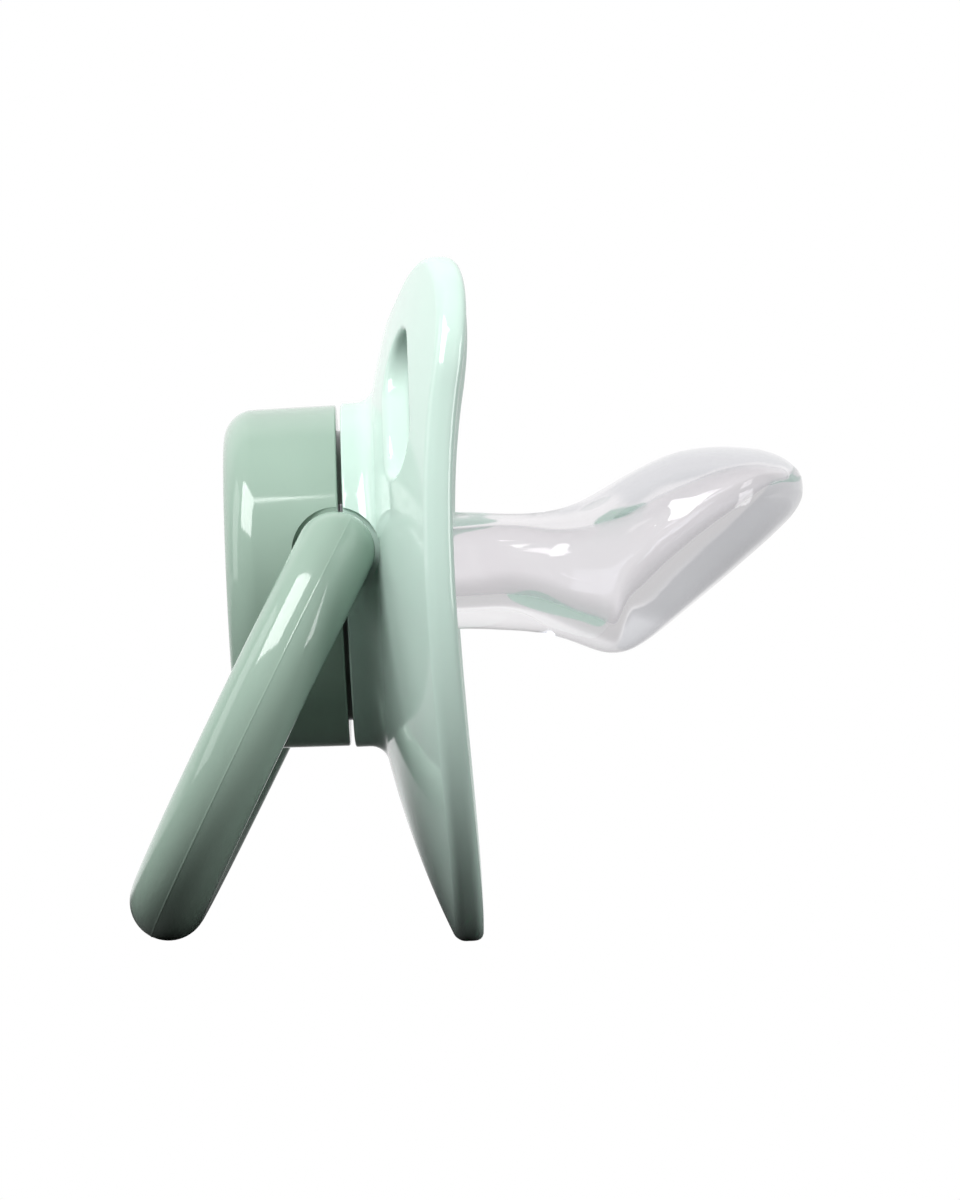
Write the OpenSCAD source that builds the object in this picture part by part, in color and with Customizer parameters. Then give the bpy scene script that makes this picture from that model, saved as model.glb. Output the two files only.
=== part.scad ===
// Baby pacifier: domed shield, clear orthodontic teat, press-on hub cap and swinging ring handle.
// Worked out with the hub axis along +X (mouth side positive) and then stood on its two feet:
// the foot of the ring handle and the chin edge of the shield.

/* [Overall] */
// Width of the shield across the cheeks
shield_w = 44.4; // [36:0.2:50]
// Height of the shield from its nose lobes to its chin
shield_h = 43.6; // [35:0.2:54]
// Length of the teat beyond the inner face of the shield
teat_len = 26.9; // [22:0.1:34]

/* [Shield] */
// Radius of the domed outer face
dome_r = 58; // [48:1:80]
// Thickness of the shield plate
shield_t = 1.8; // [1.4:0.1:2.4]
// Radius of the two lobes beside the nose
lobe_r = 8.7; // [6:0.1:11]
// Radius of the nose notch between the lobes
notch_r = 14.8; // [11:0.1:20]
// Distance of each vent slot from the hub axis
vent_reach = 17.6; // [15:0.1:22]
// Width of a vent slot
vent_w = 4.8; // [4:0.1:6]
// Angle a vent slot spans between the centres of its round ends
vent_span = 17.5; // [8:0.5:26]

/* [Hub] */
// Diameter of the hub where cap and collar meet
hub_d = 22; // [18:0.2:27]
// Depth of the cap from its open rim to its front face
cap_depth = 7.3; // [6:0.1:9]
// Wall thickness of the cap
cap_wall = 1.6; // [1.2:0.1:2]
// Radius of the rounded front edge of the cap
cap_round = 2; // [1:0.1:2.6]
// Visible gap between cap and collar
parting_gap = 0.3; // [0.2:0.05:0.6]

/* [Ring handle] */
// Outside diameter of the ring handle
ring_od = 36; // [30:0.5:44]
// Thickness of the round ring section
ring_t = 5; // [4:0.1:6]
// Diameter of the two hinge pins
pin_d = 3.3; // [2.6:0.1:4]
// Height of the hinge axis above the hub axis
pivot_up = 1.5; // [0:0.1:2]
// Angle the ring hangs away from the shield
ring_hang = 28.5; // [15:0.5:45]

/* [Teat] */
// Diameter of the air passage through the neck
neck_bore_d = 4.4; // [3:0.1:5]
// Full width of the bulb from side to side
bulb_w = 16.6; // [13:0.1:20]
// Outside diameter of the teat neck
neck_d = 7.6; // [6:0.1:9.2]

/* [Clearances] */
// Radial gap between a hinge pin and its bearing
pin_gap = 0.05; // [0.02:0.01:0.1]
// Gap kept between the moving ring and the hub or shield
swing_gap = 0.3; // [0.25:0.05:0.5]
// Gap between the snap skirt and the collar bore
snap_gap = 0.2; // [0.15:0.05:0.3]

/* [Hidden] */

// Shield outline, measured from the hub axis
half_w = shield_w / 2;
top_z = 0.452 * shield_h;
chin_z = shield_h - top_z;
lobe_y = half_w - 1 - lobe_r;
lobe_z = top_z - lobe_r;
notch_z = lobe_z + sqrt(pow(lobe_r + notch_r, 2) - lobe_y * lobe_y);
rim_r = dome_r - shield_t / 2;

// Hub
hub_r = hub_d / 2;
web_y = hub_r - 0.9;
web_t = 0.8;
collar_in = hub_r - 1.45;
skirt_out = collar_in - snap_gap;
skirt_in = skirt_out - 0.95;

// Ring handle: a circle that runs through the hinge axis at both ends
ring_r = ring_t / 2;
ring_flat = web_y + 0.25;
ring_end = ring_flat + 0.74 * ring_r;
ring_c = max(ring_od / 2 - ring_r, 1.2 * ring_end);
ring_drop = sqrt(ring_c * ring_c - ring_end * ring_end);
pin_r = pin_d / 2;
head_r = pin_r + 0.55;
head_out = web_y - web_t - swing_gap;
head_in = head_out - 1.1;
pivot_x = dome_x(norm([ring_end, pivot_up])) - ring_r - 0.2;

// Stack along the hub axis
collar_x = pivot_x + 0.53;
cap_x = collar_x - parting_gap;
face_x = cap_x - cap_depth;
seat_x = 0.4;
seat_r = min(6.2, head_in - 1.4);
clamp_r = min(seat_r + 1, head_in - 0.4);
lip_t = 1.5;
lip_x = seat_x - lip_t;
clamp_t = 1.2;
clamp_x = lip_x - clamp_t;
neck_r = neck_d / 2;
bore_r = neck_bore_d / 2;
bore_up = 0.35;
tip_x = shield_t + teat_len;
plug_x = 5;

// Standing pose: both feet on the ground
foot_x = pivot_x - (ring_drop + ring_c) * sin(ring_hang);
foot_z = pivot_up - (ring_drop + ring_c) * cos(ring_hang);
edge_x = dome_r - sqrt(rim_r * rim_r - chin_z * chin_z);
reach_x = foot_x - edge_x;
reach_z = foot_z + chin_z;
stand_tilt = atan2(reach_x, reach_z) + acos(ring_r / norm([reach_x, reach_z]));
nose_z = 4.4;
front_x = tip_x * cos(stand_tilt) - nose_z * sin(stand_tilt);
back_x = foot_x * cos(stand_tilt) - foot_z * sin(stand_tilt) - ring_r;
shift_x = -(front_x + back_x) / 2;
shift_z = ring_r - foot_x * sin(stand_tilt) - foot_z * cos(stand_tilt);

// Colours
mint = [0.77, 0.87, 0.81];
sage = [0.62, 0.73, 0.66];
clear_silicone = [0.93, 0.95, 0.98, 0.55];
pale_plastic = [0.93, 0.94, 0.93];

// Dome height over the hub plane at a distance from the axis
function dome_x(r) = dome_r - sqrt(dome_r * dome_r - r * r);

// Lift a flat outline point onto a sphere round the dome centre
function on_dome(p, s) = [dome_r - sqrt(s * s - p[0] * p[0] - p[1] * p[1]), p[0], p[1]];

function power(v, e) = v <= 0 ? 0 : pow(v, e);
function bez(a, b, c, d, t) =
    pow(1 - t, 3) * a + 3 * t * pow(1 - t, 2) * b + 3 * t * t * (1 - t) * c + pow(t, 3) * d;

// Right-hand half of the shield outline, chin to nose notch
chin_steps = 24;
side_steps = 5;
lobe_steps = 14;
notch_steps = 6;
lobe_from = 6;
lobe_to = atan2(notch_z - lobe_z, -lobe_y);
side_end = [lobe_y + lobe_r * cos(lobe_from), lobe_z + lobe_r * sin(lobe_from)];
side_pull = side_end[1] / 3;

function chin_pt(a) = [half_w * power(cos(a), 2 / 2.18), -chin_z * power(-sin(a), 2 / 2.18)];
function side_pt(t) = bez([half_w, 0], [half_w, side_pull],
    side_end - side_pull * [-sin(lobe_from), cos(lobe_from)], side_end, t);
function lobe_pt(a) = [lobe_y + lobe_r * cos(a), lobe_z + lobe_r * sin(a)];
function notch_pt(a) = [notch_r * cos(a), notch_z + notch_r * sin(a)];

half_line = concat(
    [for (i = [0 : chin_steps - 1]) chin_pt(-90 + 90 * i / chin_steps)],
    [for (i = [0 : side_steps - 1]) side_pt(i / side_steps)],
    [for (i = [0 : lobe_steps - 1]) lobe_pt(lobe_from + (lobe_to - lobe_from) * i / lobe_steps)],
    [for (i = [0 : notch_steps]) notch_pt(lobe_to + 180 + (90 - lobe_to) * i / notch_steps)]);
half_n = len(half_line);
whole_line = concat(half_line,
    [for (i = [1 : half_n - 2]) [-half_line[half_n - 1 - i][0], half_line[half_n - 1 - i][1]]]);
line_n = len(whole_line);

function unit(v) = v / norm(v);
function along(i) = unit(whole_line[(i + 1) % line_n] - whole_line[(i + line_n - 1) % line_n]);
function inset_pt(i, d) = whole_line[i] + d * [-along(i)[1], along(i)[0]];
function between_pt(i, d) = 0.7 * inset_pt(i, d) + 0.3 * inset_pt((i + 1) % line_n, d);

// Rounded rim: cross-section as [inset from the outline, offset from the mid-surface]
rim_in = 0.8;
rim_half = shield_t / 2 - 0.05;
rim_arc = 8;
rim_section = concat(
    [for (k = [0 : rim_arc]) [rim_in * (1 - cos(-90 + 180 * k / rim_arc)),
        rim_half * sin(-90 + 180 * k / rim_arc)]],
    [[1.7, 0.6 * rim_half], [1.7, -0.6 * rim_half]]);
rim_m = len(rim_section);

// Triangles over a grid of n rows by m columns; rows close on themselves when loop is 1
function skin(n, m, loop) = [for (i = [0 : n - 2 + loop]) for (j = [0 : m - 1]) for (k = [0 : 1])
    k == 0 ? [i * m + j, ((i + 1) % n) * m + j, i * m + (j + 1) % m]
           : [((i + 1) % n) * m + j, ((i + 1) % n) * m + (j + 1) % m, i * m + (j + 1) % m]];
function back_to_front(list) = [for (f = list) [f[2], f[1], f[0]]];

// Teat stations: [x share of the length, top, bottom, half width]; heights from the hub axis
function scale_w(s) = s * bulb_w / 16.6;
neck_h = neck_r + 0.04;
skin_line = [
    [0.15, neck_h, -neck_h, neck_h],
    [0.2, neck_r - 0.08, -neck_r - 0.02, neck_r + 0.05],
    [0.27, 3.55, -3.98, scale_w(3.95)],
    [0.34, 3.48, -4.2, scale_w(4.15)],
    [0.40, 3.62, -4.6, scale_w(4.55)],
    [0.456, 4.02, -5.2, scale_w(5.25)],
    [0.51, 4.72, -5.72, scale_w(6.1)],
    [0.56, 5.44, -5.68, scale_w(6.9)],
    [0.61, 6.1, -5.05, scale_w(7.55)],
    [0.66, 6.68, -4.12, scale_w(8.05)],
    [0.71, 7.05, -3.1, scale_w(8.28)],
    [0.76, 7.2, -2.08, scale_w(8.3)],
    [0.81, 7.22, -1.05, scale_w(8.05)],
    [0.86, 7.1, 0.02, scale_w(7.45)],
    [0.9, 6.93, 0.88, scale_w(6.6)],
    [0.94, 6.55, 1.8, scale_w(5.2)],
    [0.966, 6.13, 2.46, scale_w(3.95)],
    [0.982, 5.73, 2.98, scale_w(2.85)],
    [0.992, 5.4, 3.42, scale_w(1.9)],
    [0.998, 4.98, 3.85, scale_w(0.95)],
    [1, nose_z, nose_z, 0]];
hollow_line = [
    [0.2, bore_up + bore_r + 0.06, bore_up - bore_r - 0.06, bore_r + 0.06],
    [0.3, bore_up + bore_r - 0.05, bore_up - bore_r - 0.1, bore_r + 0.1],
    [0.394, 2.38, -2.68, scale_w(3)],
    [0.494, 2.84, -3.9, scale_w(4.4)],
    [0.542, 3.45, -4.26, scale_w(5.3)],
    [0.582, 4.05, -3.38, scale_w(5.9)],
    [0.635, 4.8, -2.2, scale_w(6.6)],
    [0.696, 5.52, -0.9, scale_w(7)],
    [0.796, 6.28, 1.07, scale_w(7)],
    [0.85, 6.4, 2.1, scale_w(6.5)],
    [0.895, 6.3, 3, scale_w(5.5)],
    [0.932, 5.95, 3.75, scale_w(4)],
    [0.958, 5.5, 4.25, scale_w(2.4)],
    [0.971, 4.9, 4.9, 0]];

function mid4(a, b, c, d, t) = 0.5 * (2 * b + (c - a) * t + (2 * a - 5 * b + 4 * c - d) * t * t
    + (3 * b - a - 3 * c + d) * t * t * t);
function flow(u, q) = let (n = len(q) - 1, k = min(floor(u), n - 1), t = u - k)
    mid4(q[max(k - 1, 0)], q[k], q[k + 1], q[min(k + 2, n)], t);
function teat_x(s) = shield_t + teat_len * s;

// One cross-section of a line of stations as m points
function slice(u, line, m) = let (q = flow(u, line), cz = (q[1] + q[2]) / 2, rz = (q[1] - q[2]) / 2)
    [for (j = [0 : m - 1]) let (a = 360 * j / m)
        [teat_x(q[0]), q[3] * sign(cos(a)) * power(abs(cos(a)), 0.94),
            cz + rz * sign(sin(a)) * power(abs(sin(a)), 0.94)]];

outer_m = 44;
outer_u = concat([for (i = [0 : 32]) i * 0.5], [16.5, 17, 17.5, 18, 18.5, 19, 19.5]);
inner_m = 28;
inner_u = concat([for (i = [0 : 24]) i * 0.5], [12.4, 12.7]);

// A closed blob through the slices of a line of stations
module blob(line, us, m) {
    n = len(us);
    end = line[len(line) - 1];
    polyhedron(
        points = concat([for (u = us) each slice(u, line, m)],
            [[teat_x(line[0][0]), 0, (line[0][1] + line[0][2]) / 2], [teat_x(end[0]), 0, end[1]]]),
        faces = concat(skin(n, m, 0),
            [for (j = [0 : m - 1]) [n * m, j, (j + 1) % m]],
            [for (j = [0 : m - 1]) [n * m + 1, (n - 1) * m + (j + 1) % m, (n - 1) * m + j]]),
        convexity = 6);
}

// Turn a flat (radius, x) profile round the hub axis
module turned() {
    rotate([0, 90, 0])
        rotate_extrude($fn = 144)
            children();
}

// Pull a flat (y, z) shape along the hub axis from x0 to x1
module pulled(x0, x1) {
    translate([x0, 0, 0])
        rotate([90, 0, 90])
            linear_extrude(height = x1 - x0)
                children();
}

// A cylinder along the hinge axis on both sides of the hub, from y0 to y1
module both_sides(r, y0, y1) {
    for (s = [-1, 1])
        translate([pivot_x, s < 0 ? -y1 : y0, pivot_up])
            rotate([-90, 0, 0])
                cylinder(r = r, h = y1 - y0, $fn = 96);
}

// Takes a square corner at (x, y) back to a radius; dx and dy point into the material
module round_corner(x, y, r, dx, dy) {
    translate([x, y])
        difference() {
            translate([dx > 0 ? -0.5 : -r, dy > 0 ? -0.5 : -r])
                square(r + 0.5);
            translate([dx * r, dy * r])
                circle(r, $fn = 96);
        }
}

// Puts a hub-frame solid into its standing pose
module stood() {
    translate([shift_x, 0, shift_z])
        rotate([0, -stand_tilt, 0])
            children();
}

module dome_profile() {
    intersection() {
        difference() {
            translate([0, dome_r])
                circle(dome_r, $fn = 720);
            translate([0, dome_r])
                circle(dome_r - shield_t, $fn = 720);
        }
        square([dome_r / 2, dome_r / 2]);
    }
}

// Collar that carries the lower half of each bearing, with a fillet into the dome
module collar_profile() {
    root = 1.2;
    root_r = hub_r + 0.1 + root;
    root_x = dome_r - sqrt(pow(dome_r + root, 2) - root_r * root_r);
    difference() {
        union() {
            translate([collar_in, collar_x])
                square([hub_r + 0.1 - collar_in, dome_x(collar_in) + 0.6 - collar_x]);
            difference() {
                translate([hub_r - 0.4, root_x])
                    square([root + 0.25, dome_x(hub_r) + 0.7 - root_x]);
                translate([root_r, root_x])
                    circle(root, $fn = 96);
            }
        }
        round_corner(hub_r + 0.1, collar_x, 0.15, -1, 1);
        translate([collar_in - 1, collar_x + 0.5])
            square([1.4, 0.75]);
    }
}

// Kidney-shaped slot round the hub, with round ends
vent_mid = 37.5;
vent_from = vent_mid - vent_span / 2;
vent_to = vent_mid + vent_span / 2;
function round_it(c, r, a) = [c * cos(r) + a[0], c * sin(r) + a[1]];
vent_line = concat(
    [for (i = [0 : 9]) round_it(vent_reach + vent_w / 2, vent_from + vent_span * i / 10, [0, 0])],
    [for (i = [0 : 15]) round_it(vent_w / 2, vent_to + 180 * i / 16,
        round_it(vent_reach, vent_to, [0, 0]))],
    [for (i = [0 : 9]) round_it(vent_reach - vent_w / 2, vent_to - vent_span * i / 10, [0, 0])],
    [for (i = [0 : 15]) round_it(vent_w / 2, vent_from + 180 + 180 * i / 16,
        round_it(vent_reach, vent_from, [0, 0]))]);

module rim_bead() {
    polyhedron(
        points = [for (i = [0 : line_n - 1]) for (c = rim_section)
            on_dome(inset_pt(i, c[0]), rim_r + c[1])],
        faces = skin(line_n, rim_m, 1), convexity = 6);
}

module shield() {
    color(mint)
        stood()
            difference() {
                union() {
                    intersection() {
                        turned()
                            dome_profile();
                        pulled(-1, dome_r / 2)
                            difference() {
                                polygon([for (i = [0 : line_n - 1]) between_pt(i, 0.55)]);
                                for (s = [-1, 1])
                                    polygon([for (p = vent_line) [s * p[0], p[1]]]);
                            }
                    }
                    rim_bead();
                    turned()
                        collar_profile();
                }
                // Teat bore and the flat seat for the teat lip
                pulled(-2, 6)
                    circle(neck_r + 0.1, $fn = 96);
                pulled(-2, seat_x)
                    circle(seat_r + 0.15, $fn = 96);
                // Lower bearing halves, room for the pin heads and for the ring ends
                both_sides(pin_r + pin_gap, head_in - 0.4, hub_r + 3);
                both_sides(head_r + swing_gap, head_in - swing_gap, web_y - web_t);
                both_sides(ring_r + swing_gap, web_y, hub_r + 4);
            }
}

module teat() {
    color(clear_silicone)
        stood()
            difference() {
                union() {
                    turned()
                        translate([0, lip_x])
                            square([seat_r, lip_t]);
                    turned()
                        translate([0, lip_x + 0.2])
                            square([neck_r, teat_x(0.155) - lip_x - 0.2]);
                    blob(skin_line, outer_u, outer_m);
                }
                translate([0, 0, bore_up])
                    turned()
                        translate([0, lip_x - 1])
                            square([bore_r, teat_x(0.21) - lip_x + 1]);
                blob(hollow_line, inner_u, inner_m);
            }
}

// Plug that shuts the teat and clamps its lip against the shield
module teat_plug() {
    color(pale_plastic)
        stood() {
            turned()
                difference() {
                    translate([0, clamp_x])
                        square([clamp_r, clamp_t]);
                    round_corner(clamp_r, clamp_x, 0.4, -1, 1);
                }
            translate([0, 0, bore_up])
                turned()
                    difference() {
                        translate([0, clamp_x + 0.3])
                            square([bore_r - 0.03, plug_x - clamp_x - 0.3]);
                        round_corner(bore_r - 0.03, plug_x, 0.6, -1, -1);
                    }
        }
}

module cap_shell_profile() {
    draft = 0.75;
    arc_x = face_x + cap_round;
    arc_r = hub_r - (cap_x - arc_x) * tan(draft) - cap_round / cos(draft);
    difference() {
        union() {
            polygon([[0, cap_x], [hub_r, cap_x],
                [arc_r + cap_round * cos(draft), arc_x + cap_round * sin(draft)],
                [arc_r, face_x], [0, face_x]]);
            translate([arc_r, arc_x])
                circle(cap_round, $fn = 144);
        }
        round_corner(hub_r, cap_x, 0.15, -1, -1);
        difference() {
            translate([-1, face_x + cap_wall])
                square([hub_r - cap_wall + 1, cap_depth]);
            round_corner(hub_r - cap_wall, face_x + cap_wall, 1, -1, 1);
        }
    }
}

// Snap skirt: it starts inside the cap and its bead catches a groove in the collar
module skirt_profile() {
    skirt_root = face_x + cap_wall - 0.3;
    skirt_tip = collar_x + 1;
    translate([skirt_in, skirt_root])
        square([hub_r - cap_wall + 0.3 - skirt_in, cap_x - 0.6 - skirt_root]);
    translate([skirt_in, cap_x - 1])
        square([skirt_out - skirt_in, skirt_tip - cap_x + 1]);
    translate([skirt_out - 0.3, skirt_tip - 0.45])
        square([0.3 + snap_gap + 0.25, 0.4]);
}

// Everything the skirt is cut away for: the hinge pins and four narrow slots
module skirt_cuts() {
    for (a = [0, 90])
        rotate(a)
            translate([-hub_r, a == 0 ? -2.7 : -0.4])
                square([2 * hub_r, a == 0 ? 7.2 : 0.8]);
    for (a = [55, 125])
        rotate(a)
            translate([-hub_r, -0.4])
                square([2 * hub_r, 0.8]);
}

module cap() {
    color(sage)
        stood()
            difference() {
                union() {
                    turned()
                        cap_shell_profile();
                    // Boss that presses the plug home
                    turned()
                        translate([seat_r - 1.6, face_x + cap_wall - 0.3])
                            square([1.4, clamp_x - face_x - cap_wall + 0.3]);
                    difference() {
                        turned()
                            skirt_profile();
                        pulled(cap_x - 4, 2)
                            skirt_cuts();
                    }
                }
                // Upper bearing halves, room for the pin heads and for the ring ends
                both_sides(pin_r + pin_gap, head_in - 0.4, hub_r + 3);
                both_sides(head_r + swing_gap, head_in - swing_gap, web_y - web_t);
                both_sides(ring_r + swing_gap, web_y, hub_r + 4);
            }
}

module ring_handle() {
    far = 3 * ring_c;
    half = atan2(ring_end, ring_drop);
    color(sage)
        stood()
            translate([pivot_x, 0, pivot_up])
                rotate([0, ring_hang, 0]) {
                    difference() {
                        union() {
                            difference() {
                                translate([0, 0, -ring_drop])
                                    rotate([0, 90, 0])
                                        rotate_extrude($fn = 192)
                                            translate([ring_c, 0])
                                                circle(ring_r, $fn = 64);
                                translate([0, 0, -ring_drop])
                                    pulled(-far, far)
                                        polygon([[0, 0], [far * sin(half), far * cos(half)],
                                            [-far * sin(half), far * cos(half)]]);
                            }
                            for (s = [-1, 1])
                                translate([0, s * ring_end, 0])
                                    sphere(ring_r - 0.01, $fn = 64);
                        }
                        translate([-far, -ring_flat, -ring_r - 1.5])
                            cube([2 * far, 2 * ring_flat, far]);
                    }
                    // Hinge pins with their heads, turned about the hinge axis
                    for (s = [-1, 1])
                        rotate([s < 0 ? 90 : -90, 0, 0]) {
                            translate([0, 0, head_out - 0.3])
                                cylinder(r = pin_r, h = ring_flat + 1 - head_out + 0.3, $fn = 64);
                            translate([0, 0, head_in])
                                cylinder(r = head_r, h = head_out - head_in, $fn = 64);
                        }
                }
}

shield();
teat();
teat_plug();
cap();
ring_handle();
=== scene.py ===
import math

import bmesh
import bpy
import numpy as np
from mathutils import Matrix, Vector
from mathutils.geometry import delaunay_2d_cdt


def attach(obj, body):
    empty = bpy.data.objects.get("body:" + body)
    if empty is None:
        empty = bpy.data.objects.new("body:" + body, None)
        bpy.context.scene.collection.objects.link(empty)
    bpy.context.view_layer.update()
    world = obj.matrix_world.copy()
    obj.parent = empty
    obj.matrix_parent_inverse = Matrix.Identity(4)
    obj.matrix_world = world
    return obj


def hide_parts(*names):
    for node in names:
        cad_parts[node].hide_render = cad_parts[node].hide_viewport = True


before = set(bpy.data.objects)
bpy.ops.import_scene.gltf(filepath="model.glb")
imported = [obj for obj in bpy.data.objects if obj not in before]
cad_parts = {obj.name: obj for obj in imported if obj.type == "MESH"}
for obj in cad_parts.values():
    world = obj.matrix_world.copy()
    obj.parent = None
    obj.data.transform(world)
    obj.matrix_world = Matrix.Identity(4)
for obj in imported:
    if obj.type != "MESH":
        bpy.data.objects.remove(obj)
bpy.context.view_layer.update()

# ---------------------------------------------------------------- sizes, millimetres
# Hub frame: x along the hub axis towards the mouth, y across, z up; x = 0 at the dome's apex.
SHIELD_W, SHIELD_H, SHIELD_T, DOME_R = 44.4, 43.6, 1.8, 58.0
LOBE_R, NOTCH_R = 8.7, 14.8
VENT_REACH, VENT_W, VENT_MID, VENT_SPAN = 17.6, 4.8, 37.5, 17.5
HUB_R, CAP_DEPTH, CAP_ROUND, GAP = 11.0, 7.3, 2.0, 0.3
RING_R, RING_OD, PIN_R, PIVOT_UP, HANG = 2.5, 36.0, 1.65, 1.5, math.radians(28.5)
PIN_GAP, SWING_GAP, SNAP_GAP, WEB_T, PARTING_EDGE = 0.05, 0.3, 0.2, 0.8, 0.15
TEAT_LEN, NECK_R, NOSE_Z, BORE_R, BORE_UP = 26.9, 3.8, 4.4, 2.2, 0.35


def dome_x(r):
    return DOME_R - math.sqrt(DOME_R**2 - r * r)


TOP_Z = 0.452 * SHIELD_H
CHIN_Z = SHIELD_H - TOP_Z
WEB_Y = HUB_R - 0.9
RING_FLAT = WEB_Y + 0.25
RING_END = RING_FLAT + 0.74 * RING_R
RING_C = RING_OD / 2 - RING_R
RING_DROP = math.sqrt(RING_C**2 - RING_END**2)
PIVOT_X = dome_x(math.hypot(RING_END, PIVOT_UP)) - RING_R - 0.2
COLLAR_X = PIVOT_X + 0.53
CAP_X = COLLAR_X - GAP
FACE_X = CAP_X - CAP_DEPTH
COLLAR_IN = HUB_R - 1.45
SKIRT_OUT = COLLAR_IN - SNAP_GAP
SKIRT_IN = SKIRT_OUT - 0.95
HEAD_OUT = WEB_Y - WEB_T - SWING_GAP
HEAD_IN = HEAD_OUT - 1.1
HEAD_R = PIN_R + 0.55
TIP_X = SHIELD_T + TEAT_LEN


def stand():
    """Matrix from the hub frame in millimetres to the row frame in metres."""
    foot_x = PIVOT_X - (RING_DROP + RING_C) * math.sin(HANG)
    foot_z = PIVOT_UP - (RING_DROP + RING_C) * math.cos(HANG)
    rim = DOME_R - SHIELD_T / 2
    dx = foot_x - (DOME_R - math.sqrt(rim * rim - CHIN_Z**2))
    dz = foot_z + CHIN_Z
    tilt = math.atan2(dx, dz) + math.acos(RING_R / math.hypot(dx, dz))
    c, s = math.cos(tilt), math.sin(tilt)
    front = TIP_X * c - NOSE_Z * s
    back = foot_x * c - foot_z * s - RING_R
    shift = Vector((-(front + back) / 2, 0, RING_R - foot_x * s - foot_z * c))
    return Matrix.Scale(0.001, 4) @ Matrix.Translation(shift) @ Matrix.Rotation(-tilt, 4, "Y")


HUB = stand()
RING = HUB @ Matrix.Translation((PIVOT_X, 0, PIVOT_UP)) @ Matrix.Rotation(HANG, 4, "Y")


# ---------------------------------------------------------------- mesh helpers
def piece(name, verts, faces, place=HUB, weld=2e-7):
    """A mesh object with its vertices already in the row frame, normals turned outwards."""
    me = bpy.data.meshes.new(name)
    me.from_pydata([tuple(v) for v in verts], [], faces)
    me.transform(place)
    ob = bpy.data.objects.new(name, me)
    bpy.context.scene.collection.objects.link(ob)
    bm = bmesh.new()
    bm.from_mesh(me)
    bmesh.ops.remove_doubles(bm, verts=bm.verts, dist=weld)
    bmesh.ops.recalc_face_normals(bm, faces=bm.faces)
    bm.to_mesh(me)
    bm.free()
    me.shade_smooth()
    return ob


def arc(cx, cy, r, a0, a1, n):
    """n + 1 points on a circle, angles in degrees."""
    steps = [math.radians(a0 + (a1 - a0) * i / n) for i in range(n + 1)]
    return [(cx + r * math.cos(a), cy + r * math.sin(a)) for a in steps]


def line(a, b, n):
    """Points from a up to, but not including, b."""
    return [(a[0] + (b[0] - a[0]) * i / n, a[1] + (b[1] - a[1]) * i / n) for i in range(n)]


def turn(profile, segs=256, closed=False):
    """Vertices and faces of a (radius, x) profile turned about the hub axis."""
    verts, faces, rows = [], [], []
    for r, x in profile:
        if r < 1e-9:
            rows.append([len(verts)] * segs)
            verts.append((x, 0, 0))
        else:
            rows.append(list(range(len(verts), len(verts) + segs)))
            for k in range(segs):
                a = 2 * math.pi * k / segs
                verts.append((x, r * math.cos(a), r * math.sin(a)))
    pairs = list(zip(rows, rows[1:])) + ([(rows[-1], rows[0])] if closed else [])
    for lo, hi in pairs:
        for k in range(segs):
            m = (k + 1) % segs
            corner = []
            for v in (lo[k], lo[m], hi[m], hi[k]):
                if v not in corner:
                    corner.append(v)
            if len(corner) > 2:
                faces.append(tuple(corner))
    return verts, faces


def bridge(rows, faces, closed=False):
    """Quads between rows of vertex numbers that each run round a loop."""
    for lo, hi in list(zip(rows, rows[1:])) + ([(rows[-1], rows[0])] if closed else []):
        n = len(lo)
        for k in range(n):
            m = (k + 1) % n
            faces.append((lo[k], lo[m], hi[m], hi[k]))


def even(points, step):
    """A closed line through points, resampled to about one point per step."""
    p = np.array(points + points[:1])
    s = np.concatenate([[0], np.cumsum(np.linalg.norm(np.diff(p, axis=0), axis=1))])
    n = int(round(s[-1] / step))
    t = np.arange(n) * s[-1] / n
    return np.stack([np.interp(t, s, p[:, 0]), np.interp(t, s, p[:, 1])], axis=1)


def outward(loop):
    """Unit normals of a closed anticlockwise loop, pointing out of it."""
    d = np.roll(loop, -1, axis=0) - np.roll(loop, 1, axis=0)
    d /= np.linalg.norm(d, axis=1)[:, None]
    return np.stack([d[:, 1], -d[:, 0]], axis=1)


def inside(points, loop):
    """Which points lie inside a closed loop."""
    x, y = points[:, 0][:, None], points[:, 1][:, None]
    ax, ay = loop[:, 0][None], loop[:, 1][None]
    bx, by = np.roll(loop[:, 0], -1)[None], np.roll(loop[:, 1], -1)[None]
    cross = ((ay > y) != (by > y)) & (x < (bx - ax) * (y - ay) / (by - ay + 1e-12) + ax)
    return cross.sum(axis=1) % 2 == 1


def near(points, loop):
    """Distance from each point to the nearest vertex of a loop."""
    return np.linalg.norm(points[:, None] - loop[None], axis=2).min(axis=1)


def fill(outer, holes, step):
    """Triangles over the region inside outer and outside the holes."""
    lo, hi = outer.min(axis=0), outer.max(axis=0)
    ys = np.arange(lo[1], hi[1], step * 0.866)
    grid = np.array([(x + (0.5 * step if j % 2 else 0), y)
                     for j, y in enumerate(ys) for x in np.arange(lo[0], hi[0], step)])
    keep = inside(grid, outer) & (near(grid, outer) > 0.55 * step)
    for h in holes:
        keep &= ~inside(grid, h) & (near(grid, h) > 0.55 * step)
    pts = np.concatenate([outer, *holes, grid[keep]])
    edges, at = [], 0
    for loop in (outer, *holes):
        n = len(loop)
        edges += [(at + i, at + (i + 1) % n) for i in range(n)]
        at += n
    out = delaunay_2d_cdt([Vector(p) for p in pts], edges, [], 0, 1e-9)
    made = np.array([tuple(v) for v in out[0]])
    tris = np.array([f for f in out[2] if len(f) == 3])
    mid = made[tris].mean(axis=1)
    ok = inside(mid, outer)
    for h in holes:
        ok &= ~inside(mid, h)
    return made, tris[ok]


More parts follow.
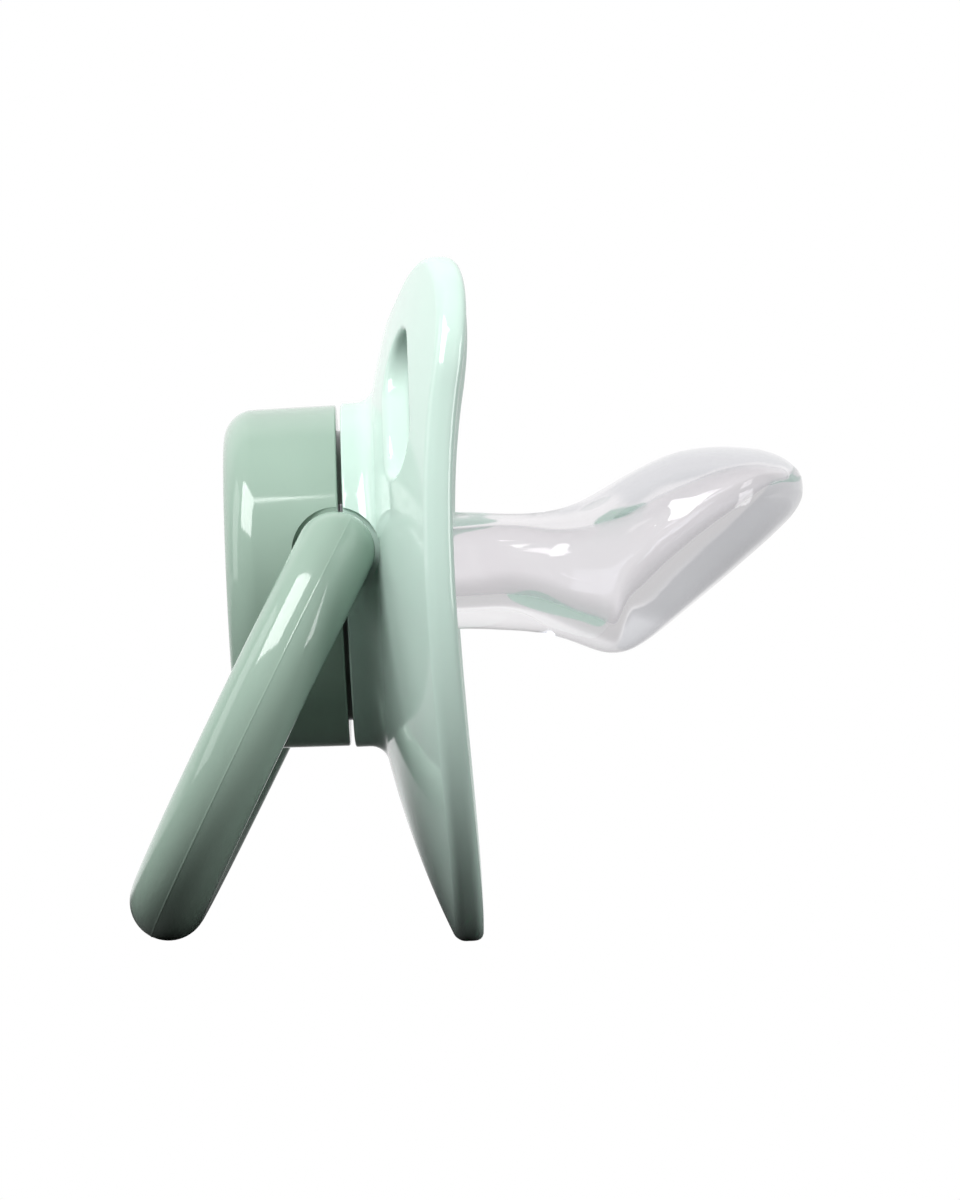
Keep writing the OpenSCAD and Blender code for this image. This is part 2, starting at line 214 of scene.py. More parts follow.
def cut(ob, *tools):
    """Takes the tools away from ob for good."""
    for t in tools:
        m = ob.modifiers.new("cut", "BOOLEAN")
        m.operation, m.solver, m.object = "DIFFERENCE", "EXACT", t
    settle(ob)
    for t in tools:
        bpy.data.objects.remove(t)


def settle(ob):
    """Turns the modifiers into plain mesh."""
    bpy.context.view_layer.update()
    made = bpy.data.meshes.new_from_object(ob.evaluated_get(bpy.context.evaluated_depsgraph_get()))
    ob.modifiers.clear()
    old, ob.data = ob.data, made
    made.name = ob.name
    bpy.data.meshes.remove(old)


def rod(name, r, y0, y1, segs):
    """A cylinder along the hinge axis, for cutting."""
    verts, faces = turn([(0, y0), (r, y0), (r, y1), (0, y1)], segs)
    return piece(name, [(v[1], v[0], v[2]) for v in verts], faces,
                 HUB @ Matrix.Translation((PIVOT_X, 0, PIVOT_UP)))


def bearing_tools(segs):
    """Cutters for the pins, their heads and the ring's ends, on both sides of the hub."""
    cuts = ((PIN_R + PIN_GAP, HEAD_IN - 0.4, HUB_R + 3),
            (HEAD_R + SWING_GAP, HEAD_IN - SWING_GAP, WEB_Y - WEB_T),
            (RING_R + SWING_GAP, WEB_Y, HUB_R + 4))
    return [rod("tool", r, *sorted((side * y0, side * y1)), segs=segs)
            for side in (1, -1) for r, y0, y1 in cuts]


def polish(ob, rule):
    """Exact shading normals: rule(position, face normal) in the hub frame, or None to leave it."""
    me = ob.data
    back, turn_in = HUB.inverted(), HUB.to_3x3().normalized()
    normals = [Vector(c.vector) for c in me.corner_normals]
    spot = [back @ v.co for v in me.vertices]
    for f in me.polygons:
        n = turn_in.transposed() @ f.normal
        for k in f.loop_indices:
            fixed = rule(spot[me.loops[k].vertex_index], n)
            if fixed is not None:
                normals[k] = turn_in @ fixed.normalized()
    me.normals_split_custom_set(normals)


def crisp(ob, degrees):
    """Smooth shading with sharp edges above this angle."""
    ob.data.shade_smooth()
    ob.data.set_sharp_from_angle(angle=math.radians(degrees))


# ---------------------------------------------------------------- shield
def bezier(a, b, c, d, t):
    return (1 - t)**3 * a + 3 * t * (1 - t)**2 * b + 3 * t * t * (1 - t) * c + t**3 * d


def shield_outline():
    half = SHIELD_W / 2
    lobe_y, lobe_z = half - 1 - LOBE_R, TOP_Z - LOBE_R
    notch_z = lobe_z + math.sqrt((LOBE_R + NOTCH_R)**2 - lobe_y**2)
    pts = []
    for i in range(600):
        a = math.radians(-90 + 90 * i / 600)
        pts.append((half * max(0, math.cos(a))**(2 / 2.18), -CHIN_Z * max(0, -math.sin(a))**(2 / 2.18)))
    a0, a1 = math.radians(6), math.atan2(notch_z - lobe_z, -lobe_y)
    end = np.array([lobe_y + LOBE_R * math.cos(a0), lobe_z + LOBE_R * math.sin(a0)])
    pull = end[1] / 3
    start, up = np.array([half, 0.0]), np.array([0, pull])
    turn_in = pull * np.array([-math.sin(a0), math.cos(a0)])
    pts += [tuple(bezier(start, start + up, end - turn_in, end, i / 120)) for i in range(120)]
    pts += [(lobe_y + LOBE_R * math.cos(a), lobe_z + LOBE_R * math.sin(a))
            for a in np.linspace(a0, a1, 300, endpoint=False)]
    pts += [(NOTCH_R * math.cos(a), notch_z + NOTCH_R * math.sin(a))
            for a in np.linspace(a1 + math.pi, 1.5 * math.pi, 120)]
    return pts + [(-y, z) for y, z in reversed(pts[1:-1])]


def vent_outline(side):
    a0, a1 = VENT_MID - VENT_SPAN / 2, VENT_MID + VENT_SPAN / 2
    e0 = (VENT_REACH * math.cos(math.radians(a0)), VENT_REACH * math.sin(math.radians(a0)))
    e1 = (VENT_REACH * math.cos(math.radians(a1)), VENT_REACH * math.sin(math.radians(a1)))
    h = VENT_W / 2
    pts = (arc(0, 0, VENT_REACH + h, a0, a1, 60)[:-1] + arc(*e1, h, a1, a1 + 180, 90)[:-1]
           + arc(0, 0, VENT_REACH - h, a1, a0, 60)[:-1] + arc(*e0, h, a0 + 180, a0 + 360, 90)[:-1])
    return pts if side > 0 else [(-y, z) for y, z in reversed(pts)]


def on_dome(p, rho):
    """Point over a flat outline point, at a distance rho from the dome's centre."""
    return Vector((DOME_R - math.sqrt(rho * rho - p[0]**2 - p[1]**2), p[0], p[1]))


def edge_steps(r_out, r_in, n=7):
    """Cross-section of a rounded edge as (inset, depth below the outer face)."""
    steps = [(r_out * (1 - math.sin(a)), r_out * (1 - math.cos(a)))
             for a in np.linspace(0, math.pi / 2, n)]
    steps += [(r_in * (1 - math.cos(a)), SHIELD_T - r_in * (1 - math.sin(a)))
              for a in np.linspace(0, math.pi / 2, n)]
    return steps


def build_shield():
    rim = even(shield_outline(), 0.36)
    vents = [even(vent_outline(s), 0.3) for s in (1, -1)]
    segs = 192
    root = 1.2
    root_r = HUB_R + 0.1 + root
    root_x = DOME_R - math.sqrt((DOME_R + root)**2 - root_r**2)
    lean = math.degrees(math.asin(root_r / (DOME_R + root)))
    seam_r = root_r - root * math.sin(math.radians(lean))
    verts, faces = [], []

    def ring_loop(r):
        return np.array([(r * math.cos(2 * math.pi * k / segs), r * math.sin(2 * math.pi * k / segs))
                         for k in range(segs)])

    rim_n, vent_n = outward(rim), [outward(v) for v in vents]
    steps, small = edge_steps(0.5, 0.8), edge_steps(0.5, 0.5)
    for depth, at_rim, at_vent, hole in (
            (0.0, steps[0][0], small[0][0], seam_r),
            (SHIELD_T, steps[-1][0], small[-1][0], 5.4)):
        outer = rim - rim_n * at_rim
        holes = [v + n * at_vent for v, n in zip(vents, vent_n)] + [ring_loop(hole)]
        made, tris = fill(outer, holes, 0.9)
        at = len(verts)
        verts += [on_dome(p, DOME_R - depth) for p in made]
        faces += [tuple(int(at + i) for i in t) for t in tris]
    for loop, normal, profile, sign in ((rim, rim_n, steps, -1), (vents[0], vent_n[0], small, 1),
                                        (vents[1], vent_n[1], small, 1)):
        rows = []
        for inset, depth in profile:
            rows.append(list(range(len(verts), len(verts) + len(loop))))
            verts += [on_dome(p + sign * inset * n, DOME_R - depth) for p, n in zip(loop, normal)]
        bridge(rows, faces)
    # Collar, seat and bore, from the fillet's foot on the outer face to the mouth-side face
    low = DOME_R - SHIELD_T
    r_hub = HUB_R + 0.1
    profile = arc(root_r, root_x, root, 90 + lean, 180, 14)
    edge = PARTING_EDGE
    profile += line(profile[-1], (r_hub, COLLAR_X + edge), 4)[1:]
    profile += arc(r_hub - edge, COLLAR_X + edge, edge, 0, -90, 8)
    profile += arc(COLLAR_IN + 0.2, COLLAR_X + 0.2, 0.2, -90, -180, 4)
    profile += [(COLLAR_IN, dome_x(COLLAR_IN) - 0.05)]
    profile += [(r, dome_x(r)) for r in np.linspace(COLLAR_IN, 6.6, 8)]
    profile += [(6.35, 0.4), (NECK_R + 0.1, 0.4)]
    bore = NECK_R + 0.1
    profile += arc(bore + 0.35, 1.55, 0.35, 180, 90, 6)
    profile += [(r, DOME_R - math.sqrt(low * low - r * r)) for r in np.linspace(bore + 0.55, 5.4, 5)]
    v, f = turn(profile, segs)
    at = len(verts)
    verts += v
    faces += [tuple(at + i for i in q) for q in f]
    ob = piece("mouth_shield", verts, faces, weld=3e-6)
    cut(ob, *bearing_tools(128))
    crisp(ob, 32)
    centre = Vector((DOME_R, 0, 0))

    def rule(p, n):
        d = p - centre
        rho, flat = d.length, math.hypot(p.y, p.z)
        if abs(rho - DOME_R) < 2e-3 and n.dot(d.normalized()) > 0.985 and flat > 9:
            return d
        if abs(rho - low) < 2e-3 and n.dot(d.normalized()) < -0.985 and flat > 5:
            return -d
        return None

    polish(ob, rule)
    return ob


# ---------------------------------------------------------------- cap
def build_cap():
    draft = math.radians(0.75)
    ax = FACE_X + CAP_ROUND
    ar = HUB_R - (CAP_X - ax) * math.tan(draft) - CAP_ROUND / math.cos(draft)
    crown = 0.06
    profile = [(r, FACE_X - crown * (1 - (r / ar)**2)) for r in np.linspace(0, ar, 14)][:-1]
    profile += arc(ar, ax, CAP_ROUND, -90, math.degrees(draft), 28)
    edge = PARTING_EDGE
    profile += line(profile[-1], (HUB_R, CAP_X - edge), 12)[1:]
    profile += arc(HUB_R - edge, CAP_X - edge, edge, 0, 90, 8)
    profile += [(SKIRT_OUT, CAP_X), (SKIRT_OUT, 0.0), (SKIRT_OUT - 0.15, 0.15), (SKIRT_IN, 0.15),
                (SKIRT_IN, FACE_X + 1.6), (0, FACE_X + 1.6)]
    verts, faces = turn(profile, 288)
    ob = piece("hub_cap", verts, faces)
    x0, x1 = CAP_X, 0.6
    box = [(x, y, z) for x in (x0, x1) for y in (-HUB_R, HUB_R) for z in (-2.7, 4.5)]
    sides = [(0, 1, 3, 2), (4, 6, 7, 5), (0, 4, 5, 1), (2, 3, 7, 6), (0, 2, 6, 4), (1, 5, 7, 3)]
    cut(ob, *bearing_tools(192), piece("tool", box, sides))
    crisp(ob, 30)

    def rule(p, n):
        flat = math.hypot(p.y, p.z)
        side = Vector((0, p.y, p.z)) / max(flat, 1e-9)
        if p.x > ax - 1e-3 and p.x < CAP_X - edge + 0.01 and flat > HUB_R - 0.3 and n.dot(side) > 0.99:
            return side + Vector((-math.tan(draft), 0, 0))
        if ar + 1e-3 < flat and p.x < ax + 1e-3:
            d = Vector((p.x - ax, 0, 0)) + side * (flat - ar)
            if abs(d.length - CAP_ROUND) < 2e-3 and n.dot(d.normalized()) > 0.98:
                return d
        return None

    polish(ob, rule)
    return ob


# ---------------------------------------------------------------- ring handle
def build_ring():
    half = math.atan2(RING_END, RING_DROP)
    seam = [0, 0.9, 1.8, 3.0]
    around = sorted({round(a, 6) for a in [360 * k / 60 for k in range(60)] if 4 < a < 356}
                    | set(seam) | {360 - a for a in seam if a})

    def section(centre, side, up, scale=1.0, ridge=1.0):
        row = []
        for a in around:
            off = min(a, 360 - a)
            r = RING_R * scale + 0.028 * ridge * math.exp(-(off / 1.1)**2)
            t = math.radians(a)
            row.append(centre + r * (math.cos(t) * side + math.sin(t) * up))
        return row

    flat_up = Vector((1, 0, 0))
    rows, hub = [], Vector((0, 0, -RING_DROP))
    for k in range(13):
        b = math.pi / 2 * (1 - k / 13)
        side = Vector((0, math.sin(half), math.cos(half)))
        along = Vector((0, -math.cos(half), math.sin(half)))
        rows.append(section(hub + side * RING_C + along * RING_R * math.sin(b), side, flat_up,
                            max(math.cos(b), 0.002), math.cos(b)))
    for k in range(281):
        a = half + (2 * math.pi - 2 * half) * k / 280
        side = Vector((0, math.sin(a), math.cos(a)))
        rows.append(section(hub + side * RING_C, side, flat_up))
    for k in range(1, 14):
        b = math.pi / 2 * k / 13
        side = Vector((0, -math.sin(half), math.cos(half)))
        along = Vector((0, math.cos(half), math.sin(half)))
        rows.append(section(hub + side * RING_C + along * RING_R * math.sin(b), side, flat_up,
                            max(math.cos(b), 0.002), math.cos(b)))
    n = len(around)
    verts = [v for row in rows for v in row]
    for v in verts:
        if abs(v.y) < RING_FLAT and v.z > -RING_R - 1.5:
            v.y = math.copysign(RING_FLAT, v.y)
    faces = []
    for i in range(len(rows) - 1):
        for k in range(n):
            m = (k + 1) % n
            faces.append((i * n + k, i * n + m, (i + 1) * n + m, (i + 1) * n + k))
    faces += [tuple(range(n)), tuple(range((len(rows) - 1) * n, len(rows) * n))]
    for s in (1, -1):
        pin = [(0, HEAD_IN), (HEAD_R - 0.15, HEAD_IN), (HEAD_R, HEAD_IN + 0.15),
               (HEAD_R, HEAD_OUT - 0.15), (HEAD_R - 0.15, HEAD_OUT), (PIN_R, HEAD_OUT),
               (PIN_R, RING_FLAT + 0.8), (0, RING_FLAT + 0.8)]
        v, f = turn(pin, 96)
        at = len(verts)
        verts += [Vector((p[1], s * p[0], p[2])) for p in v]
        faces += [tuple(at + i for i in q) for q in f]
    ob = piece("swing_ring", verts, faces, RING)
    crisp(ob, 40)
    return ob


# ---------------------------------------------------------------- teat and plug
def spline(knots, values, t):
    """Natural cubic spline through values at the knots."""
    n = len(knots)
    h = np.diff(knots)
    a = np.zeros((n, n))
    a[0, 0] = a[-1, -1] = 1
    rhs = np.zeros((n, values.shape[1]))
    for i in range(1, n - 1):
        a[i, i - 1], a[i, i], a[i, i + 1] = h[i - 1], 2 * (h[i - 1] + h[i]), h[i]
        rhs[i] = 6 * ((values[i + 1] - values[i]) / h[i] - (values[i] - values[i - 1]) / h[i - 1])
    m = np.linalg.solve(a, rhs)
    k = np.clip(np.searchsorted(knots, t) - 1, 0, n - 2)
    u, w = (knots[k + 1] - t)[:, None], (t - knots[k])[:, None]
    hk = h[k][:, None]
    return (m[k] * u**3 / (6 * hk) + m[k + 1] * w**3 / (6 * hk)
            + (values[k] / hk - m[k] * hk / 6) * u + (values[k + 1] / hk - m[k + 1] * hk / 6) * w)


# Share of the length, top, bottom, half width: the outside, then the hollow
SKIN_LINE = np.array([
    (0.15, 3.77, -3.77, 3.77), (0.2, 3.72, -3.82, 3.85), (0.27, 3.55, -3.98, 3.95),
    (0.34, 3.48, -4.2, 4.15), (0.40, 3.62, -4.6, 4.55), (0.456, 4.02, -5.2, 5.25),
    (0.51, 4.72, -5.72, 6.1), (0.56, 5.44, -5.68, 6.9), (0.61, 6.1, -5.05, 7.55),
    (0.66, 6.68, -4.12, 8.05), (0.71, 7.05, -3.1, 8.28), (0.76, 7.2, -2.08, 8.3),
    (0.81, 7.22, -1.05, 8.05), (0.86, 7.1, 0.02, 7.45), (0.9, 6.93, 0.88, 6.6), (0.94, 6.55, 1.8, 5.2),
    (0.966, 6.13, 2.46, 3.95), (0.982, 5.73, 2.98, 2.85), (0.992, 5.4, 3.42, 1.9),
    (0.998, 4.98, 3.85, 0.95), (1, NOSE_Z, NOSE_Z, 0)])
HOLLOW_LINE = np.array([
    (0.2, 2.56, -1.86, 2.21), (0.3, 2.5, -1.95, 2.3), (0.394, 2.38, -2.68, 3), (0.494, 2.84, -3.9, 4.4),
    (0.542, 3.45, -4.26, 5.3), (0.582, 4.05, -3.38, 5.9), (0.635, 4.8, -2.2, 6.6),
    (0.696, 5.52, -0.9, 7), (0.796, 6.28, 1.07, 7), (0.85, 6.4, 2.1, 6.5), (0.895, 6.3, 3, 5.5),
    (0.932, 5.95, 3.75, 4), (0.958, 5.5, 4.25, 2.4), (0.971, 4.9, 4.9, 0)])


def build_teat():
    count, squareness = 128, 0.97

    def smooth(stations, n):
        data = stations.copy()
        data[:, 0] = SHIELD_T + TEAT_LEN * data[:, 0]
        gaps = np.linalg.norm(np.diff(data[:, :3], axis=0), axis=1)
        knots = np.concatenate([[0], np.cumsum(gaps)])
        t = knots[-1] * (1 - (1 - np.linspace(0, 1, n))**1.4)
        out = spline(knots, data, t)
        out[-1] = data[-1]
        return [tuple(q) for q in out]

    def rows_of(stations, verts):
        rows = []
        for x, top, low, half in stations:
            rows.append(list(range(len(verts), len(verts) + count)))
            cz, rz = (top + low) / 2, max((top - low) / 2, 1e-3)
            half = max(half, 1e-3)
            for k in range(count):
                a = 2 * math.pi * k / count
                c, s = math.cos(a), math.sin(a)
                verts.append((x, half * math.copysign(abs(c)**squareness, c),
                              cz + rz * math.copysign(abs(s)**squareness, s)))
        return rows

    def round_row(x, r, up=0.0):
        return (x, up + r, up - r, r)

    verts, faces = [], []
    lip = [round_row(-1.1, BORE_R + 0.02, BORE_UP), round_row(-1.1, 6.1), round_row(-1.0, 6.2),
           round_row(0.3, 6.2), round_row(0.4, 6.1), round_row(0.4, NECK_R),
           round_row(2.4, NECK_R - 0.01), round_row(4.4, NECK_R - 0.02)]
    outer = rows_of(lip + smooth(SKIN_LINE, 190), verts)
    bore = [round_row(0.5, BORE_R + 0.02, BORE_UP), round_row(5.0, BORE_R + 0.01, BORE_UP)]
    cavity = rows_of(bore + smooth(HOLLOW_LINE, 150), verts)
    bridge(outer, faces)
    bridge(cavity, faces)
    bridge([outer[0], cavity[0]], faces)
    faces += [tuple(outer[-1]), tuple(cavity[-1])]
    ob = piece("soft_teat", verts, faces)
    crisp(ob, 40)
    return ob


def build_plug():
    disc = [(0, -2.3)] + arc(6.8, -1.9, 0.4, -90, 0, 6) + [(7.2, -1.1), (0, -1.1)]
    plate, faces = turn(disc, 128)
    r = BORE_R - 0.03
    peg = [(0, -2.0), (r, -2.0), (r, 4.4)] + arc(r - 0.6, 4.4, 0.6, 0, 90, 8) + [(0, 5.0)]
    pin, more = turn(peg, 96)
    at = len(plate)
    verts = plate + [(x, y, z + BORE_UP) for x, y, z in pin]
    ob = piece("neck_plug", verts, faces + [tuple(at + i for i in q) for q in more])
    crisp(ob, 35)
    return ob


# ---------------------------------------------------------------- materials
def socket(group, name, kind, way, default=None):
    s = group.interface.new_socket(name=name, in_out=way, socket_type=kind)
    if default is not None:
        s.default_value = default
    return s


def maths_in(tree):
    """A function that adds Math nodes to a tree and returns their output."""
    def maths(op, a, b=0.0, clamp=False):
        m = tree.nodes.new("ShaderNodeMath")
        m.operation, m.use_clamp = op, clamp
        for s, v in zip(m.inputs, (a, b)):
            if isinstance(v, (int, float)):
                s.default_value = v
            else:
                tree.links.new(v, s)
        return m.outputs[0]

    return maths


def moulded_surface():
    """Shader group: faint flow in the colour, gloss variation, hairline scratches and pimples."""
    g = bpy.data.node_groups.new("moulded_surface", "ShaderNodeTree")
    socket(g, "Color", "NodeSocketColor", "INPUT", (0.6, 0.7, 0.6, 1))
    socket(g, "Roughness", "NodeSocketFloat", "INPUT", 0.12)
    socket(g, "Scratches", "NodeSocketFloat", "INPUT", 0.5)
    socket(g, "Base Color", "NodeSocketColor", "OUTPUT")
    socket(g, "Roughness Out", "NodeSocketFloat", "OUTPUT")
    socket(g, "Height", "NodeSocketFloat", "OUTPUT")
    n, k = g.nodes, g.links
    i, o = n.new("NodeGroupInput"), n.new("NodeGroupOutput")
    where = n.new("ShaderNodeTexCoord")

    def noise(scale, detail, rough=0.5):
        t = n.new("ShaderNodeTexNoise")
        t.inputs["Scale"].default_value = scale
        t.inputs["Detail"].default_value = detail
        t.inputs["Roughness"].default_value = rough
        k.new(where.outputs["Object"], t.inputs["Vector"])
        return t

    maths = maths_in(g)
    flow = noise(55, 3)
    shade = n.new("ShaderNodeMix")
    shade.data_type, shade.blend_type = "RGBA", "MULTIPLY"
    shade.inputs["Factor"].default_value = 1.0
    tone = n.new("ShaderNodeMapRange")
    tone.inputs["To Min"].default_value, tone.inputs["To Max"].default_value = 0.975, 1.02
    k.new(flow.outputs["Fac"], tone.inputs["Value"])
    k.new(i.outputs["Color"], shade.inputs["A"])
    k.new(tone.outputs["Result"], shade.inputs["B"])
    k.new(shade.outputs["Result"], o.inputs["Base Color"])

    def hairlines(angle, stretch, scale, width):
        spin = n.new("ShaderNodeMapping")
        spin.inputs["Rotation"].default_value = angle
        spin.inputs["Scale"].default_value = stretch
        k.new(where.outputs["Object"], spin.inputs["Vector"])
        v = n.new("ShaderNodeTexVoronoi")
        v.feature = "DISTANCE_TO_EDGE"
        v.inputs["Scale"].default_value = scale
        k.new(spin.outputs["Vector"], v.inputs["Vector"])
        return maths("SUBTRACT", 1.0, maths("DIVIDE", v.outputs["Distance"], width, True))

    fine = maths("MAXIMUM", hairlines((0.5, 0.3, 0.4), (1, 1, 9), 90, 0.006),
                 hairlines((-0.4, 0.9, 1.1), (8, 1, 1), 70, 0.006))
    patch = noise(160, 2)
    worn = maths("MULTIPLY", fine, maths("GREATER_THAN", patch.outputs["Fac"], 0.56))
    worn = maths("MULTIPLY", worn, i.outputs["Scratches"])
    gloss = noise(420, 4, 0.6)
    grain = maths("SUBTRACT", gloss.outputs["Fac"], 0.5)
    rough = maths("ADD", i.outputs["Roughness"], maths("MULTIPLY", grain, 0.07))
    k.new(maths("ADD", rough, maths("MULTIPLY", worn, 0.12)), o.inputs["Roughness Out"])
    wave = maths("MULTIPLY", noise(130, 1).outputs["Fac"], 0.5)
    pimple = maths("ADD", wave, maths("MULTIPLY", grain, 0.05))
    k.new(maths("SUBTRACT", pimple, maths("MULTIPLY", worn, 0.12)), o.inputs["Height"])
    return g


def plastic(name, color, group, roughness, scratches, scatter=0.12):
    m = bpy.data.materials.new(name)
    m.use_nodes = True
    t = m.node_tree
    p = t.nodes["Principled BSDF"]
    s = t.nodes.new("ShaderNodeGroup")
    s.node_tree = group
    s.inputs["Color"].default_value = (*color, 1)
    s.inputs["Roughness"].default_value = roughness
    s.inputs["Scratches"].default_value = scratches
    bump = t.nodes.new("ShaderNodeBump")
    bump.inputs["Strength"].default_value = 0.25
    bump.inputs["Distance"].default_value = 0.00006
    t.links.new(s.outputs["Base Color"], p.inputs["Base Color"])
    t.links.new(s.outputs["Roughness Out"], p.inputs["Roughness"])
    t.links.new(s.outputs["Height"], bump.inputs["Height"])
    t.links.new(bump.outputs["Normal"], p.inputs["Normal"])
    p.inputs["IOR"].default_value = 1.5
    p.inputs["Subsurface Weight"].default_value = scatter
    p.inputs["Subsurface Radius"].default_value = (0.8, 1.0, 0.9)
    p.inputs["Subsurface Scale"].default_value = 0.0015
    return m


def silicone():
    m = bpy.data.materials.new("clear_silicone")
    m.use_nodes = True
    t = m.node_tree
    p = t.nodes["Principled BSDF"]
    p.inputs["Base Color"].default_value = (0.9, 0.885, 0.9, 1)
    p.inputs["IOR"].default_value = 1.41
    p.inputs["Transmission Weight"].default_value = 1.0
    where = t.nodes.new("ShaderNodeTexCoord")
    haze = t.nodes.new("ShaderNodeTexNoise")
    haze.inputs["Scale"].default_value = 220
    haze.inputs["Detail"].default_value = 3
    t.links.new(where.outputs["Object"], haze.inputs["Vector"])
    spread = t.nodes.new("ShaderNodeMapRange")
    spread.inputs["To Min"].default_value = 0.03
    spread.inputs["To Max"].default_value = 0.09
    t.links.new(haze.outputs["Fac"], spread.inputs["Value"])
    t.links.new(spread.outputs["Result"], p.inputs["Roughness"])
    bump = t.nodes.new("ShaderNodeBump")
    bump.inputs["Strength"].default_value = 0.2
    bump.inputs["Distance"].default_value = 0.00008
    t.links.new(haze.outputs["Fac"], bump.inputs["Height"])
    t.links.new(bump.outputs["Normal"], p.inputs["Normal"])
    # Light that has been round the wall a few times leaves it, so that it doesn't die out inside
    ray = t.nodes.new("ShaderNodeLightPath")
    late = maths_in(t)("GREATER_THAN", ray.outputs["Ray Depth"], 3.5)
    leave, mix = t.nodes.new("ShaderNodeBsdfTransparent"), t.nodes.new("ShaderNodeMixShader")
    leave.inputs["Color"].default_value = (0.75, 0.76, 0.78, 1)
    t.links.new(late, mix.inputs["Fac"])
    t.links.new(p.outputs["BSDF"], mix.inputs[1])
    t.links.new(leave.outputs["BSDF"], mix.inputs[2])
    t.links.new(mix.outputs["Shader"], t.nodes["Material Output"].inputs["Surface"])
    return m


def dress(ob, material, body, node):
    ob.data.materials.clear()
    ob.data.materials.append(material)
    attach(ob, body)
    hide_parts(node)


skin = moulded_surface()
mint = plastic("mint_plastic", (0.54, 0.69, 0.62), skin, 0.08, 0.25)
sage = plastic("sage_plastic", (0.31, 0.42, 0.35), skin, 0.08, 0.6)
pale = plastic("inner_plastic", (0.85, 0.87, 0.85), skin, 0.25, 0.2)
clear = silicone()

dress(build_shield(), mint, "body", "shield")
dress(build_cap(), sage, "body", "cap")
dress(build_ring(), sage, "ring", "ring_handle")
dress(build_teat(), clear, "body", "teat")
dress(build_plug(), pale, "body", "teat_plug")


# ---------------------------------------------------------------- studio
def floor_material():
    """White to the camera and through the teat; to the rest dark near by and white far behind."""
    m = bpy.data.materials.new("studio_floor")
    m.use_nodes = True
    t = m.node_tree
    t.nodes.clear()

    def add(kind):
        return t.nodes.new("ShaderNode" + kind)

    maths = maths_in(t)
    where, split, far, ray = add("TexCoord"), add("SeparateXYZ"), add("MapRange"), add("LightPath")
    far.interpolation_type = "SMOOTHSTEP"
    far.inputs["From Min"].default_value, far.inputs["From Max"].default_value = 0.02, 0.14
    t.links.new(where.outputs["Object"], split.inputs[0])
    t.links.new(split.outputs["Y"], far.inputs["Value"])

    near_by, distant, rest = add("BsdfDiffuse"), add("Emission"), add("MixShader")
    near_by.inputs["Color"].default_value = (0.05, 0.05, 0.05, 1)
    distant.inputs["Strength"].default_value = 0.85
    t.links.new(far.outputs["Result"], rest.inputs["Fac"])
    t.links.new(near_by.outputs["BSDF"], rest.inputs[1])
    t.links.new(distant.outputs["Emission"], rest.inputs[2])

    pale, seen, mix, out = add("MapRange"), add("Emission"), add("MixShader"), add("OutputMaterial")
    pale.inputs["To Min"].default_value = 0.7
    camera_ray = ray.outputs["Is Camera Ray"]
    t.links.new(far.outputs["Result"], pale.inputs["Value"])
    t.links.new(maths("MAXIMUM", pale.outputs["Result"], camera_ray), seen.inputs["Strength"])
    t.links.new(maths("MAXIMUM", camera_ray, ray.outputs["Transmission Depth"], True), mix.inputs["Fac"])
    t.links.new(rest.outputs["Shader"], mix.inputs[1])
    t.links.new(seen.outputs["Emission"], mix.inputs[2])
    t.links.new(mix.outputs["Shader"], out.inputs["Surface"])
    return m


def card(name, centre, size, facing, material):
    """A flat rectangle with its normal along facing."""
    turn_to = Vector(facing).to_track_quat("Z", "Y").to_matrix().to_4x4()
    w, h = size[0] / 2, size[1] / 2
    ob = piece(name, [(-w, -h, 0), (w, -h, 0), (w, h, 0), (-w, h, 0)], [(0, 1, 2, 3)],
               Matrix.Translation(centre) @ turn_to)
    ob.data.materials.append(material)
    return ob


def softbox(name, place, size, power, target=(0, 0, 0.022)):
    """A rectangular lamp that faces the target."""
    light = bpy.data.lights.new(name, "AREA")
    light.shape, light.size, light.size_y, light.energy = "RECTANGLE", size[0], size[1], power
    ob = bpy.data.objects.new(name, light)
    ob.location = place
    ob.rotation_mode = "QUATERNION"
    ob.rotation_quaternion = (Vector(place) - Vector(target)).to_track_quat("Z", "Y")
    bpy.context.scene.collection.objects.link(ob)
    return ob


card("studio_floor", (0, 0, 0), (6, 6), (0, 0, 1), floor_material())
softbox("key_box", (-0.3, -0.36, 0.46), (0.42, 0.36), 5.0)
softbox("left_strip", (-0.5, -0.05, 0.16), (0.2, 0.5), 0.6)
softbox("right_strip", (0.45, -0.3, 0.12), (0.2, 0.5), 2.0)


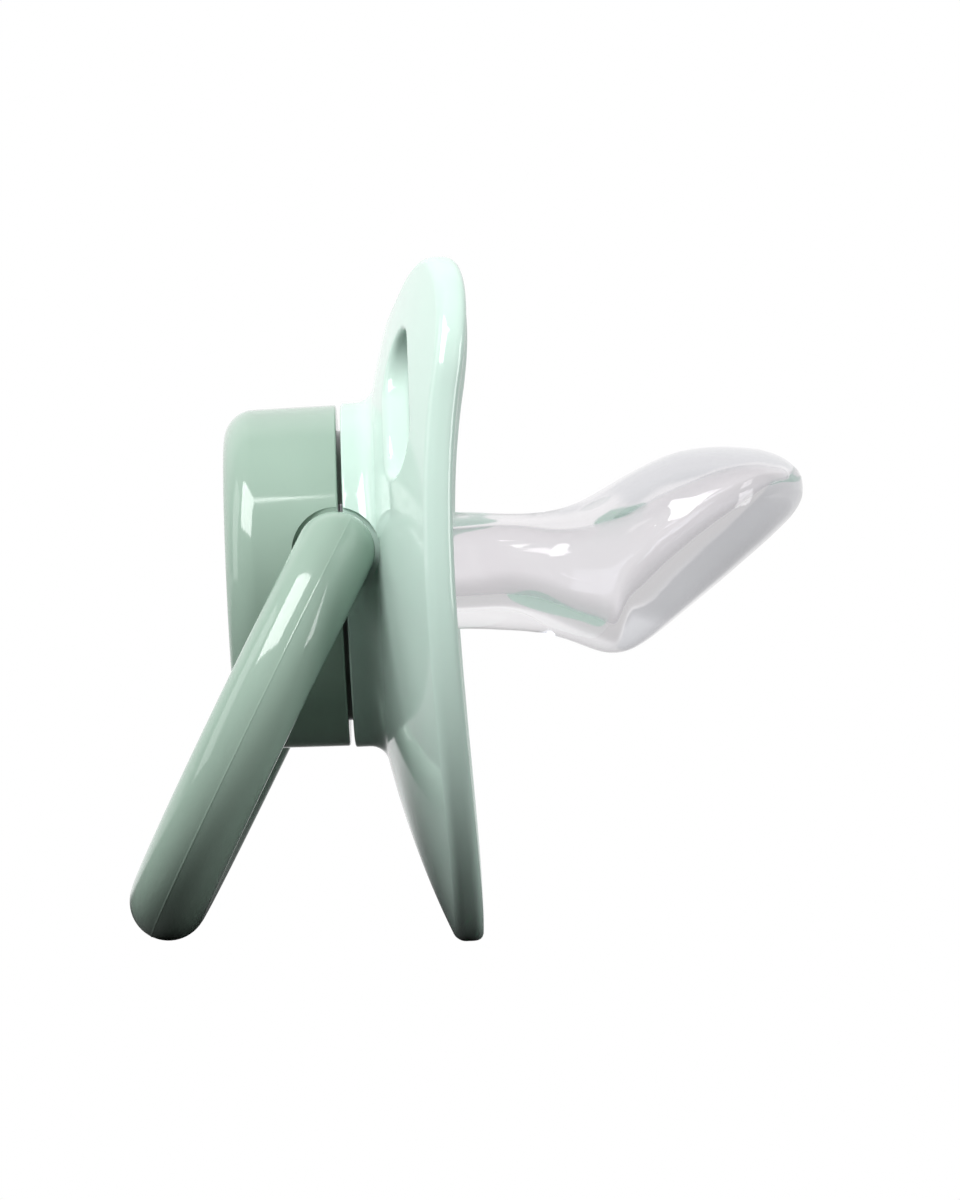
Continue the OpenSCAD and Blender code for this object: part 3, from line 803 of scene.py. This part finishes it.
def studio_world():
    """White to the camera; otherwise a bright sweep behind, a dim room in front, dark below."""
    w = bpy.data.worlds.new("studio")
    w.use_nodes = True
    t = w.node_tree
    t.nodes.clear()
    out, back = t.nodes.new("ShaderNodeOutputWorld"), t.nodes.new("ShaderNodeBackground")
    back.inputs["Color"].default_value = (1, 1, 1, 1)
    where, split = t.nodes.new("ShaderNodeTexCoord"), t.nodes.new("ShaderNodeSeparateXYZ")
    t.links.new(where.outputs["Generated"], split.inputs[0])

    def ramp(value, low, high, a, b):
        r = t.nodes.new("ShaderNodeMapRange")
        r.interpolation_type = "SMOOTHSTEP"
        for name, v in (("From Min", low), ("From Max", high), ("To Min", a), ("To Max", b)):
            r.inputs[name].default_value = v
        t.links.new(value, r.inputs["Value"])
        return r.outputs["Result"]

    maths = maths_in(t)
    behind = ramp(split.outputs["Y"], 0.15, 0.6, 0.0, 1.0)
    high = ramp(split.outputs["Z"], -0.25, 0.35, 0.03, 1.0)
    low = ramp(split.outputs["Z"], -0.6, -0.2, 0.0, 1.0)
    dim = maths("MULTIPLY", high, 0.34)
    sweep = maths("MULTIPLY", behind, low)
    light = maths("MAXIMUM", dim, sweep)
    ray = t.nodes.new("ShaderNodeLightPath")
    through = maths("GREATER_THAN", ray.outputs["Transmission Depth"], 0.5)
    steep = maths("ABSOLUTE", split.outputs["Z"])
    seen = maths("MULTIPLY", ramp(split.outputs["Y"], -0.6, 0.6, 0.3, 1.0),
                 ramp(steep, 0.25, 0.8, 1.0, 0.55))
    light = maths("MAXIMUM", light, maths("MULTIPLY", through, seen))
    t.links.new(maths("MAXIMUM", light, ray.outputs["Is Camera Ray"]), back.inputs["Strength"])
    t.links.new(back.outputs["Background"], out.inputs["Surface"])
    return w


bpy.context.scene.world = studio_world()

cam = bpy.data.cameras.new("camera")
cam.lens, cam.sensor_width = 232.5, 36
camera = bpy.data.objects.new("camera", cam)
camera.location = (0.00087, -0.5, 0.02196)
camera.rotation_euler = (math.radians(90), 0, 0)
bpy.context.scene.collection.objects.link(camera)
bpy.context.scene.camera = camera
bpy.context.scene.view_settings.view_transform = "Standard"
